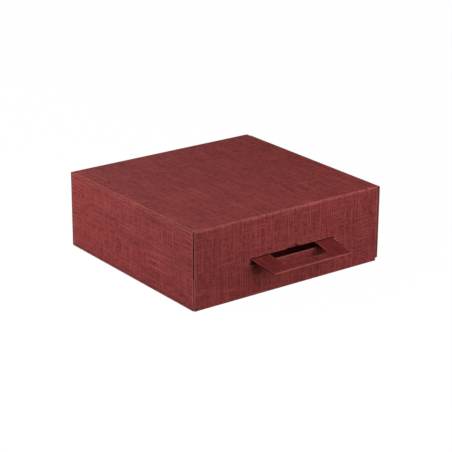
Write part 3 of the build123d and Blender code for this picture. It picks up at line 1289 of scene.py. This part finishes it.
@dataclass
class CarryHandle:
    """The handle: a U of board that shows its reverse side, and the creases of its two legs."""

    sizes: HandleSizes = HANDLE
    leg_points: int = 10
    hole_arc_points: int = 12
    rim_arc_points: int = 5
    side_points: int = 5
    band_points: int = 9
    corner_margin: float = 0.6
    crease_points: int = 9

    def plane(self) -> Plane:
        """The handle's upper face: a is X from the closure's middle, and s runs out from the hinge.

        Returns:
            The plane.
        """
        droop = self.sizes.droop
        return Plane((SLEEVE.closure_x, self.sizes.hinge_y, self.sizes.hinge_z), (1, 0, 0),
                     (0, -math.cos(droop), -math.sin(droop)), (0, math.sin(droop), -math.cos(droop)),
                     (0.0, PLACES.handle))

    def left_half(self) -> tuple[np.ndarray, np.ndarray]:
        """The left half of the U, from the root of the leg to the middle of the grip band.

        Returns:
            The hand hole's places and the outer edge's, one for each other.
        """
        size = self.sizes
        leg = np.linspace(size.crease_reach, size.hole_length - size.hole_corner - self.corner_margin,
                          self.leg_points)
        hole_leg = np.stack([-size.half_hole(leg), leg], 1)
        rim_leg = np.stack([-size.half_width(leg), leg], 1)
        hole_corner = np.array([-size.half_hole(size.hole_length), size.hole_length])
        hole_arc = corner_arc(hole_corner, hole_leg[-1], np.array([0.0, size.hole_length]), size.hole_corner,
                              self.hole_arc_points)
        rim_corner = np.array([-size.half_width(size.length), size.length])
        rim_arc = corner_arc(rim_corner, rim_leg[-1], np.array([0.0, size.length]), size.corner,
                             self.rim_arc_points)
        up = np.linspace(rim_leg[-1], rim_arc[0], self.side_points)[1:-1]
        over = np.linspace(rim_arc[-1], [hole_arc[-1, 0], size.length], self.side_points)[1:]
        band = np.linspace(hole_arc[-1, 0], 0.0, self.band_points)[1:]
        hole_band = np.stack([band, np.full_like(band, size.hole_length)], 1)
        rim_band = np.stack([band, np.full_like(band, size.length)], 1)
        return np.concatenate([hole_leg, hole_arc, hole_band]), np.concatenate([rim_leg, up, rim_arc, over, rim_band])

    def board(self) -> Surface:
        """The U: the section stands on lines from the hand hole's edge to the outer edge.

        Along the grip's front edge the groove, which lies in shade, is painted in the pale cut-edge paper: a painted
        highlight where the other edges show dark flutes.

        Returns:
            The closed surface.
        """
        hole, rim = [np.concatenate([half, half[-2::-1] * (-1, 1)]) for half in self.left_half()]
        crosses, crosses_rim = [np.round(np.abs(np.gradient(line[:, 0]))
                                         / np.linalg.norm(np.gradient(line, axis=0), axis=1))
                                for line in (hole, rim)]
        section = Section.of_board(Edge.CUT, Edge.CUT, samples=5, show=Finish.REVERSE, hidden=Finish.LINEN)
        surface = self.plane().plate(hole, rim, section, False, over_first=crosses)
        outer_groove = (section.rows[:, 1] < 0) & (section.rows[:, -1] == Finish.FLUTING_AND_SHADE.value)
        # The front edge's groove gets the pale paper: a painted highlight.
        painted_highlight = np.outer(crosses_rim[:-1] == 1, outer_groove)
        surface.finishes[:painted_highlight.size][painted_highlight.ravel()] = Finish.PAPER_EDGE_AND_HIGHLIGHT.value
        return surface

    def fluting(self) -> Surface:
        """The fluted sheet of the grip band, which shows along the hand hole.

        Returns:
            The closed surface.
        """
        size = self.sizes
        half = size.hole_tip / 2 - size.hole_corner
        return self.plane().fluting(columns(-half, half), size.hole_length + BOARD.sheet_inset,
                                    size.hole_length + BOARD.sheet_depth)

    def crease(self, side: int) -> Surface:
        """A leg's crease: its outside turns round the fold's centre, and its inside is a sharp corner.

        Args:
            side: -1 for the left leg and 1 for the right one.

        Returns:
            The crease, from the locking panel's top edge to the leg's root.
        """
        size, plane = self.sizes, self.plane()
        reach, radius, thickness = size.crease_reach, size.fold_radius, BOARD.thickness
        turn = math.pi / 2 + size.droop
        tangent = radius * math.tan(turn / 2)
        hinge = np.array([size.hinge_y, size.hinge_z])
        out = np.array([-math.cos(size.droop), -math.sin(size.droop)])
        below, under = np.array([0.0, -1.0]), np.array([-1.0, 0.0])
        centre = hinge + below * tangent + under * radius
        angles = np.linspace(0, turn, self.crease_points)
        arc = centre + radius * np.stack([np.cos(angles), np.sin(angles)], 1)
        show = np.concatenate([[hinge + below * reach], arc, [hinge + out * reach]])
        inside = hinge + below * thickness * math.tan(turn / 2) + under * thickness
        foot = hinge + below * reach + under * thickness
        head = hinge + out * reach + thickness * np.array([math.sin(size.droop), -math.cos(size.droop)])
        share = np.linspace(0, 2, len(show))[:, None]
        hidden = np.where(share < 1, foot + (inside - foot) * share, inside + (head - inside) * (share - 1))
        near, far = size.half_hole(reach), size.half_width(reach)
        left = SLEEVE.closure_x + (near if side > 0 else -far)
        to_3d = np.array([[0.0, 1.0, 0.0], [0.0, 0.0, 1.0]])
        origin = show @ to_3d + (left, 0, 0)
        depth = (hidden - show) @ to_3d / thickness
        blank = np.stack([np.full(len(show), left), plane.blank[1] + np.linspace(-reach, reach, len(show))], 1)
        # The crease's outside wears the near-black groove finish: painted shade in the gap between the slot's lip and
        # the legs.
        section = Section.of_board(Edge.CUT, Edge.CUT, samples=3, show=Finish.FLUTING_AND_SHADE, hidden=Finish.LINEN)
        return carry(Stations(origin, np.array((1.0, 0, 0)), far - near, depth, blank, np.array((1.0, 0))), section)

    def pieces(self) -> list[Piece]:
        """The handle, and the creases between the locking panel and the handle.

        Returns:
            The two pieces.
        """
        size, thickness = self.sizes, BOARD.thickness
        bend = np.array([-1.0, 1.0]) / math.sqrt(2)
        foot = np.array([-thickness, -size.crease_reach])
        reach, droop = size.crease_reach, size.droop
        head = np.array([-reach * math.cos(droop) + thickness * math.sin(droop),
                         -reach * math.sin(droop) - thickness * math.cos(droop)])
        hinge = np.array([size.hinge_y, size.hinge_z])
        start = hinge + foot
        end = start + bend * float((head - foot) @ bend)
        return [
            Piece("folded_carry_handle", join([self.board(), self.fluting()]), "handle", ("carry_handle",),
                  slot="burgundy_reverse"),
            Piece("carry_handle_creases", join([self.crease(-1), self.crease(1)]), "sleeve",
                  slot="burgundy_reverse", bends_to="handle",
                  bend_start=(SLEEVE.closure_x * MM, start[0] * MM, start[1] * MM),
                  bend_end=(SLEEVE.closure_x * MM, end[0] * MM, end[1] * MM)),
        ]


MITRE_PLAY = 0.02


@dataclass(frozen=True)
class DrawerSide:
    """One side of the drawer: where its outer face is, which way it looks, and its width."""

    name: str
    middle: tuple[float, float]
    facing: tuple[float, float]
    width: float
    is_end: bool
    blank_start: float

    @property
    def is_front(self) -> bool:
        """Whether this side looks forward, and has the finger opening."""
        return self.facing == (0, -1)

    @property
    def run(self) -> np.ndarray:
        """Unit direction along the side."""
        return np.array([-self.facing[1], self.facing[0], 0.0])

    @property
    def inward(self) -> np.ndarray:
        """Unit direction into the drawer."""
        return np.array([-self.facing[0], -self.facing[1], 0.0])

    def at(self, z: float, inset: float = 0.0, across: float = 0.0) -> np.ndarray:
        """A point at a height, a distance in from the outer face, and a distance from the middle."""
        return np.array([*self.middle, z]) + inset * self.inward + across * self.run

    def mitred(self, surface: Surface) -> Surface:
        """Cuts both ends of a piece back to the corners' mitres, by moving its points along the side.

        Args:
            surface: the piece, which is changed.

        Returns:
            The same surface.
        """
        from_middle = surface.points - np.array([*self.middle, 0.0])
        across, inset = from_middle @ self.run, from_middle @ self.inward
        limit = self.width / 2 - inset - MITRE_PLAY
        surface.points = surface.points + np.outer(np.clip(across, -limit, limit) - across, self.run)
        return surface


@dataclass
class Drawer:
    """The roll-over drawer: outer walls, rolled rims and inner walls on its four sides."""

    sizes: DrawerSizes = DRAWER

    def sides(self) -> list[DrawerSide]:
        """The four sides, as in the CAD model.

        Returns:
            The left end, the right end, the front side and the back side.
        """
        size = self.sizes
        east, depth = size.west + size.length, size.far - size.near
        mid_x, mid_y = (size.west + east) / 2, (size.near + size.far) / 2
        blank = [PLACES.drawer + k * PLACES.next_side for k in range(4)]
        return [
            DrawerSide("left_end", (size.west, mid_y), (-1, 0), depth, True, blank[0]),
            DrawerSide("right_end", (east, mid_y), (1, 0), depth, True, blank[1]),
            DrawerSide("front_side", (mid_x, size.near), (0, -1), size.length, False, blank[2]),
            DrawerSide("back_side", (mid_x, size.far), (0, 1), size.length, False, blank[3]),
        ]

    def end_outer_wall(self, side: DrawerSide) -> Surface:
        """An end's outer wall: creased at the foot and the rim, and cut across the flutes at both sides.

        Args:
            side: the side of the drawer.

        Returns:
            The closed surfaces of the wall and of its fluted sheet.
        """
        size, half = self.sizes, side.width / 2
        run = Run.of_strip(size.rim - size.foot, True, True, samples=12)
        wall = strip(run, side.at(size.foot, 0, -half), (0, 0, 1), side.inward, side.run, side.width,
                     Section.of_board(Edge.CUT, Edge.CUT, samples=24), (side.blank_start, 0.0), grain_onward=False,
                     over_first=1.0, over_last=1.0)
        plane = Plane(tuple(side.at(0.0)), (0, 0, 1), tuple(side.run), tuple(side.inward), (side.blank_start, 0.0))
        heights = columns(size.foot + BOARD.fold_radius, size.rim - BOARD.fold_radius)
        deep, inset = BOARD.sheet_depth, BOARD.sheet_inset
        return join([wall, plane.fluting(heights, -half + inset, -half + deep),
                     plane.fluting(heights, half - deep, half - inset)])

    def finger_edges(self, side: DrawerSide) -> tuple[float, float]:
        """The finger opening's left and right edges, from the side's middle."""
        offset, half = SLEEVE.closure_x - side.middle[0], HANDLE.hole_root / 2
        return offset - half, offset + half

    def long_outer_wall(self, side: DrawerSide) -> Surface:
        """A long side's outer wall: creased at the foot and the rim, and at both ends into the corner tabs.

        Args:
            side: the side of the drawer. The front one has the finger opening.

        Returns:
            The closed surfaces of its parts.
        """
        size, width = self.sizes, side.width - 2 * BOARD.thickness

        def part(run: Run, low: float, high: float, first: Edge, last: Edge) -> Surface:
            """The part of the wall over a run, from a low level to a high one."""
            return strip(run, side.at(low, 0, -width / 2), side.run, side.inward, (0, 0, 1), high - low,
                         Section.of_board(first, last, samples=8), (side.blank_start, low), grain_onward=False)

        def whole(run: Run) -> Surface:
            """The wall over a run, from its foot to the rim."""
            return part(run, size.foot, size.rim, Edge.FOLD, Edge.FOLD)

        if not side.is_front:
            return whole(Run.of_strip(width, True, True, samples=26))
        left, right = [edge + width / 2 for edge in self.finger_edges(side)]
        middle = Run.of_strip(width, False, False, start=left, stop=right, samples=8)
        return join([
            whole(Run.of_strip(width, True, False, stop=left, samples=12)),
            part(middle, size.foot, HANDLE.finger_foot, Edge.FOLD, Edge.BUTT),
            part(middle, HANDLE.finger_head, size.rim, Edge.BUTT, Edge.FOLD),
            whole(Run.of_strip(width, False, True, start=right, samples=12)),
        ])

    def rolled_rim(self, side: DrawerSide) -> Surface:
        """A rim: creased to both walls, and mitred at the corners.

        Args:
            side: the side of the drawer.

        Returns:
            The closed surface.
        """
        size, half = self.sizes, side.width / 2
        run = Run.of_strip(size.wall, True, True, samples=3)
        return side.mitred(strip(run, side.at(size.rim, 0, -half), side.inward, (0, 0, -1), side.run, side.width,
                                 Section.of_board(Edge.BUTT, Edge.BUTT, samples=24),
                                 (side.blank_start + PLACES.rim, 0.0), grain_onward=not side.is_end))

    def inner_wall(self, side: DrawerSide) -> Surface:
        """An inner wall: creased to the rim, mitred at the corners, with two lock tabs in the floor.

        Args:
            side: the side of the drawer. The front one has the finger opening.

        Returns:
            The closed surfaces of its parts.
        """
        size, half = self.sizes, side.width / 2
        height = size.rim - size.floor

        def part(low: float, high: float, left: float, right: float) -> Surface:
            """The part of the wall between two levels and two places along the side.

            Args:
                low: the lower level.
                high: the upper level.
                left: the left place, from the side's middle.
                right: the right place.

            Returns:
                The closed surface.
            """
            run = Run.of_strip(height, high == size.rim, False, start=size.rim - high, stop=size.rim - low, samples=8)
            across = (left + half, 0.0) if not side.is_end else (0.0, left + half)
            blank = (side.blank_start + PLACES.inner_wall + across[0], across[1])
            return strip(run, side.at(size.rim, size.wall, left), (0, 0, -1), -side.inward, side.run, right - left,
                         Section.of_board(Edge.BUTT, Edge.BUTT, samples=20), blank, grain_onward=not side.is_end)

        parts = [part(size.floor, size.rim, -half, half)]
        if side.is_front:
            foot, head, (left, right) = HANDLE.finger_foot, HANDLE.finger_head, self.finger_edges(side)
            parts = [part(size.floor, foot, -half, half), part(foot, head, -half, left),
                     part(foot, head, right, half), part(head, size.rim, -half, half)]
        return join([side.mitred(wall) for wall in parts] + [self.lock_tab(side, step) for step in (-0.5, 0.5)])

    def lock_tab(self, side: DrawerSide, step: float) -> Surface:
        """A tab under an inner wall: it narrows to its foot, and seats in the floor's slot.

        Args:
            side: the side of the drawer.
            step: its place along the side, in shares of the tabs' spacing.

        Returns:
            The closed surface.
        """
        size = self.sizes
        middle = step * size.lock_spacing
        half = np.array([size.lock_width, size.lock_width - size.lock_taper]) / 2
        depths = np.array([0.0, BOARD.thickness - size.lock_play])
        origin = np.stack([side.at(size.floor - d, size.wall, middle - w) for d, w in zip(depths, half)])
        blank = np.stack([side.blank_start + PLACES.inner_wall + depths, middle - half], 1)
        return carry(Stations(origin, side.run, 2 * half, -side.inward, blank, np.array((0.0, 1.0))),
                     Section.of_board(Edge.BUTT, Edge.BUTT, samples=2))

    def pieces(self) -> list[Piece]:
        """Twelve pieces: an outer wall, a rim and an inner wall on each side.

        Returns:
            The pieces.
        """
        made = []
        for side in self.sides():
            outer = self.end_outer_wall(side) if side.is_end else self.long_outer_wall(side)
            parts = {"outer_wall": outer, "rolled_rim": self.rolled_rim(side), "inner_wall": self.inner_wall(side)}
            made += [Piece(f"linen_{side.name}_{part}", surface, "drawer", (f"drawer_{side.name}_{part}",))
                     for part, surface in parts.items()]
        return made

    def dress_hidden_board(self, finishes: FinishSet) -> None:
        """Gives the drawer's floor and corner tabs, which keep their CAD shapes, the reverse paper.

        Args:
            finishes: the finishes to take it from.
        """
        tabs = [f"drawer_{side}_{end}_corner_tab" for side in ("front", "back") for end in ("left", "right")]
        papers = {"drawer_floor": finishes.reverse_flat} | dict.fromkeys(tabs, finishes.reverse_upright)
        for name, paper in papers.items():
            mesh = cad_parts[name].data
            mesh.materials.clear()
            mesh.materials.append(paper)
            log.info("%s: CAD shape in reverse paper", name)


# The studio


@dataclass(frozen=True)
class Camera:
    """The photograph's camera, from the fit of the box's edges: pixels, degrees and millimetres."""

    focal_pixels: float = 1597.84
    azimuth: float = -36.6765
    elevation: float = 20.3391
    roll: float = 0.3574
    distance: float = 2428.66
    target: tuple[float, float, float] = (0.0, 0.0, 58.5)
    aim_right: float = -5.3154
    aim_up: float = 13.9155

    def place(self) -> None:
        """Puts the camera into the scene: it looks back along the direction of its azimuth and elevation."""
        a, e, r = (math.radians(v) for v in (self.azimuth, self.elevation, self.roll))
        back = Vector((math.sin(a) * math.cos(e), -math.cos(a) * math.cos(e), math.sin(e)))
        level = Vector((0, 0, 1)).cross(back).normalized()
        upright = back.cross(level)
        right = math.cos(r) * level + math.sin(r) * upright
        up = -math.sin(r) * level + math.cos(r) * upright
        place = Vector(self.target) + back * self.distance - right * self.aim_right - up * self.aim_up
        data = bpy.data.cameras.new("camera")
        data.sensor_width = SENSOR
        data.lens = self.focal_pixels / IMAGE_SIDE * SENSOR
        data.clip_start, data.clip_end = 0.1, 50.0
        camera = bpy.data.objects.new("camera", data)
        turned = Matrix((right, up, back)).transposed().to_4x4()
        camera.matrix_world = Matrix.Translation(place * MM) @ turned
        bpy.context.scene.collection.objects.link(camera)
        bpy.context.scene.camera = camera


@dataclass(frozen=True)
class SoftBox:
    """A square area lamp: where it hangs, what it is aimed at, its side in metres and its watts."""

    name: str
    place: tuple[float, float, float]
    side: float
    watts: float
    aim: tuple[float, float, float] = (0.0, 0.0, 0.05)

    def hang(self) -> None:
        """Puts the lamp into the scene."""
        data = bpy.data.lights.new(self.name, "AREA")
        data.shape, data.size, data.energy = "SQUARE", self.side, self.watts
        lamp = bpy.data.objects.new(self.name, data)
        lamp.visible_camera = False
        lamp.location = self.place
        lamp.rotation_euler = (Vector(self.place) - Vector(self.aim)).to_track_quat("Z", "Y").to_euler()
        bpy.context.scene.collection.objects.link(lamp)


@dataclass(frozen=True)
class Studio:
    """A white sweep: a pale floor that keeps a soft shadow, soft boxes, and a pale room.

    The camera sees the floor and the room white. The light meets a grey floor, which throws little of it
    back up at the front.
    """

    room: float = 0.03
    floor_colour: str = "#5E5C5A"
    floor_white: float = 0.9
    floor_strength: float = 1.1
    floor_reach: float = 12.0
    floor_level: float = -0.0002
    lamps: tuple[SoftBox, ...] = (
        SoftBox("left_soft_box", (-1.2, 0.6, 0.68), 0.8, 25.0),
        SoftBox("front_soft_box", (0.15, -0.6, 0.5), 0.8, 3.4),
        SoftBox("fill_soft_box", (0.4, -2.4, 0.6), 1.6, 26.0),
        SoftBox("back_soft_box", (0.3, 1.3, 1.1), 0.8, 3.5),
        SoftBox("glow_inside", (0.0, 0.03, 0.1), 0.1, 0.03, (0.0, 0.03, 0.0)),
    )

    def world(self) -> None:
        """The room: white to the camera, and an even grey to everything else."""
        world = bpy.data.worlds.new("studio_room")
        bpy.context.scene.world = world
        world.use_nodes = True
        tree = world.node_tree
        tree.nodes.clear()
        path = add_node(tree, "ShaderNodeLightPath").outputs["Is Camera Ray"]
        room = add_node(tree, "ShaderNodeBackground", None, {"Color": WHITE, "Strength": self.room})
        white = add_node(tree, "ShaderNodeBackground", None, {"Color": WHITE, "Strength": 1.0})
        mix = add_node(tree, "ShaderNodeMixShader", None,
                       {0: path, 1: room.outputs[0], 2: white.outputs[0]})
        add_node(tree, "ShaderNodeOutputWorld", None, {"Surface": mix.outputs[0]})

    def floor(self) -> None:
        """The floor: pale paper whose lit parts show white, so that only the box's shadow is left."""
        material = bpy.data.materials.new("pale_floor")
        material.use_nodes = True
        tree = material.node_tree
        tree.nodes.clear()
        path = add_node(tree, "ShaderNodeLightPath").outputs["Is Camera Ray"]
        share = add_node(tree, "ShaderNodeMath", {"operation": "MULTIPLY"}, {0: path, 1: self.floor_white})
        paper = add_node(tree, "ShaderNodeBsdfDiffuse", None, {"Color": linear(self.floor_colour)})
        white = add_node(tree, "ShaderNodeEmission", None, {"Color": WHITE, "Strength": self.floor_strength})
        mix = add_node(tree, "ShaderNodeMixShader", None,
                       {0: share.outputs[0], 1: paper.outputs[0], 2: white.outputs[0]})
        add_node(tree, "ShaderNodeOutputMaterial", None, {"Surface": mix.outputs[0]})
        reach, low = self.floor_reach, self.floor_level
        mesh = bpy.data.meshes.new("floor")
        mesh.from_pydata([(-reach, -reach, low), (reach, -reach, low), (reach, reach, low), (-reach, reach, low)],
                         [], [(0, 1, 2, 3)])
        mesh.materials.append(material)
        floor = bpy.data.objects.new("floor", mesh)
        bpy.context.scene.collection.objects.link(floor)
        floor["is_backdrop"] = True

    def set_up(self) -> None:
        """Makes the room, the floor and the lamps, and shows colours as they are."""
        self.world()
        self.floor()
        for lamp in self.lamps:
            lamp.hang()
        bpy.context.scene.view_settings.view_transform = "Standard"


def write_sizes() -> None:
    boxes = {"cad": CAD_BOX, "visual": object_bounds()}
    {name: [list(corner) for corner in box] for name, box in boxes.items()}


def main() -> None:
    """Builds the box's pieces on their bodies, and then the studio round them."""
    logging.basicConfig(level=logging.INFO, format="%(message)s")
    Camera().place()
    finishes = FinishSet()
    workshop = Workshop(finishes)
    drawer = Drawer()
    for assembly in (Sleeve(), FrontFlap(), CarryHandle(), drawer):
        for piece in assembly.pieces():
            workshop.make(piece)
    drawer.dress_hidden_board(finishes)
    Studio().set_up()
    write_sizes()


if __name__ == "__main__":
    main()
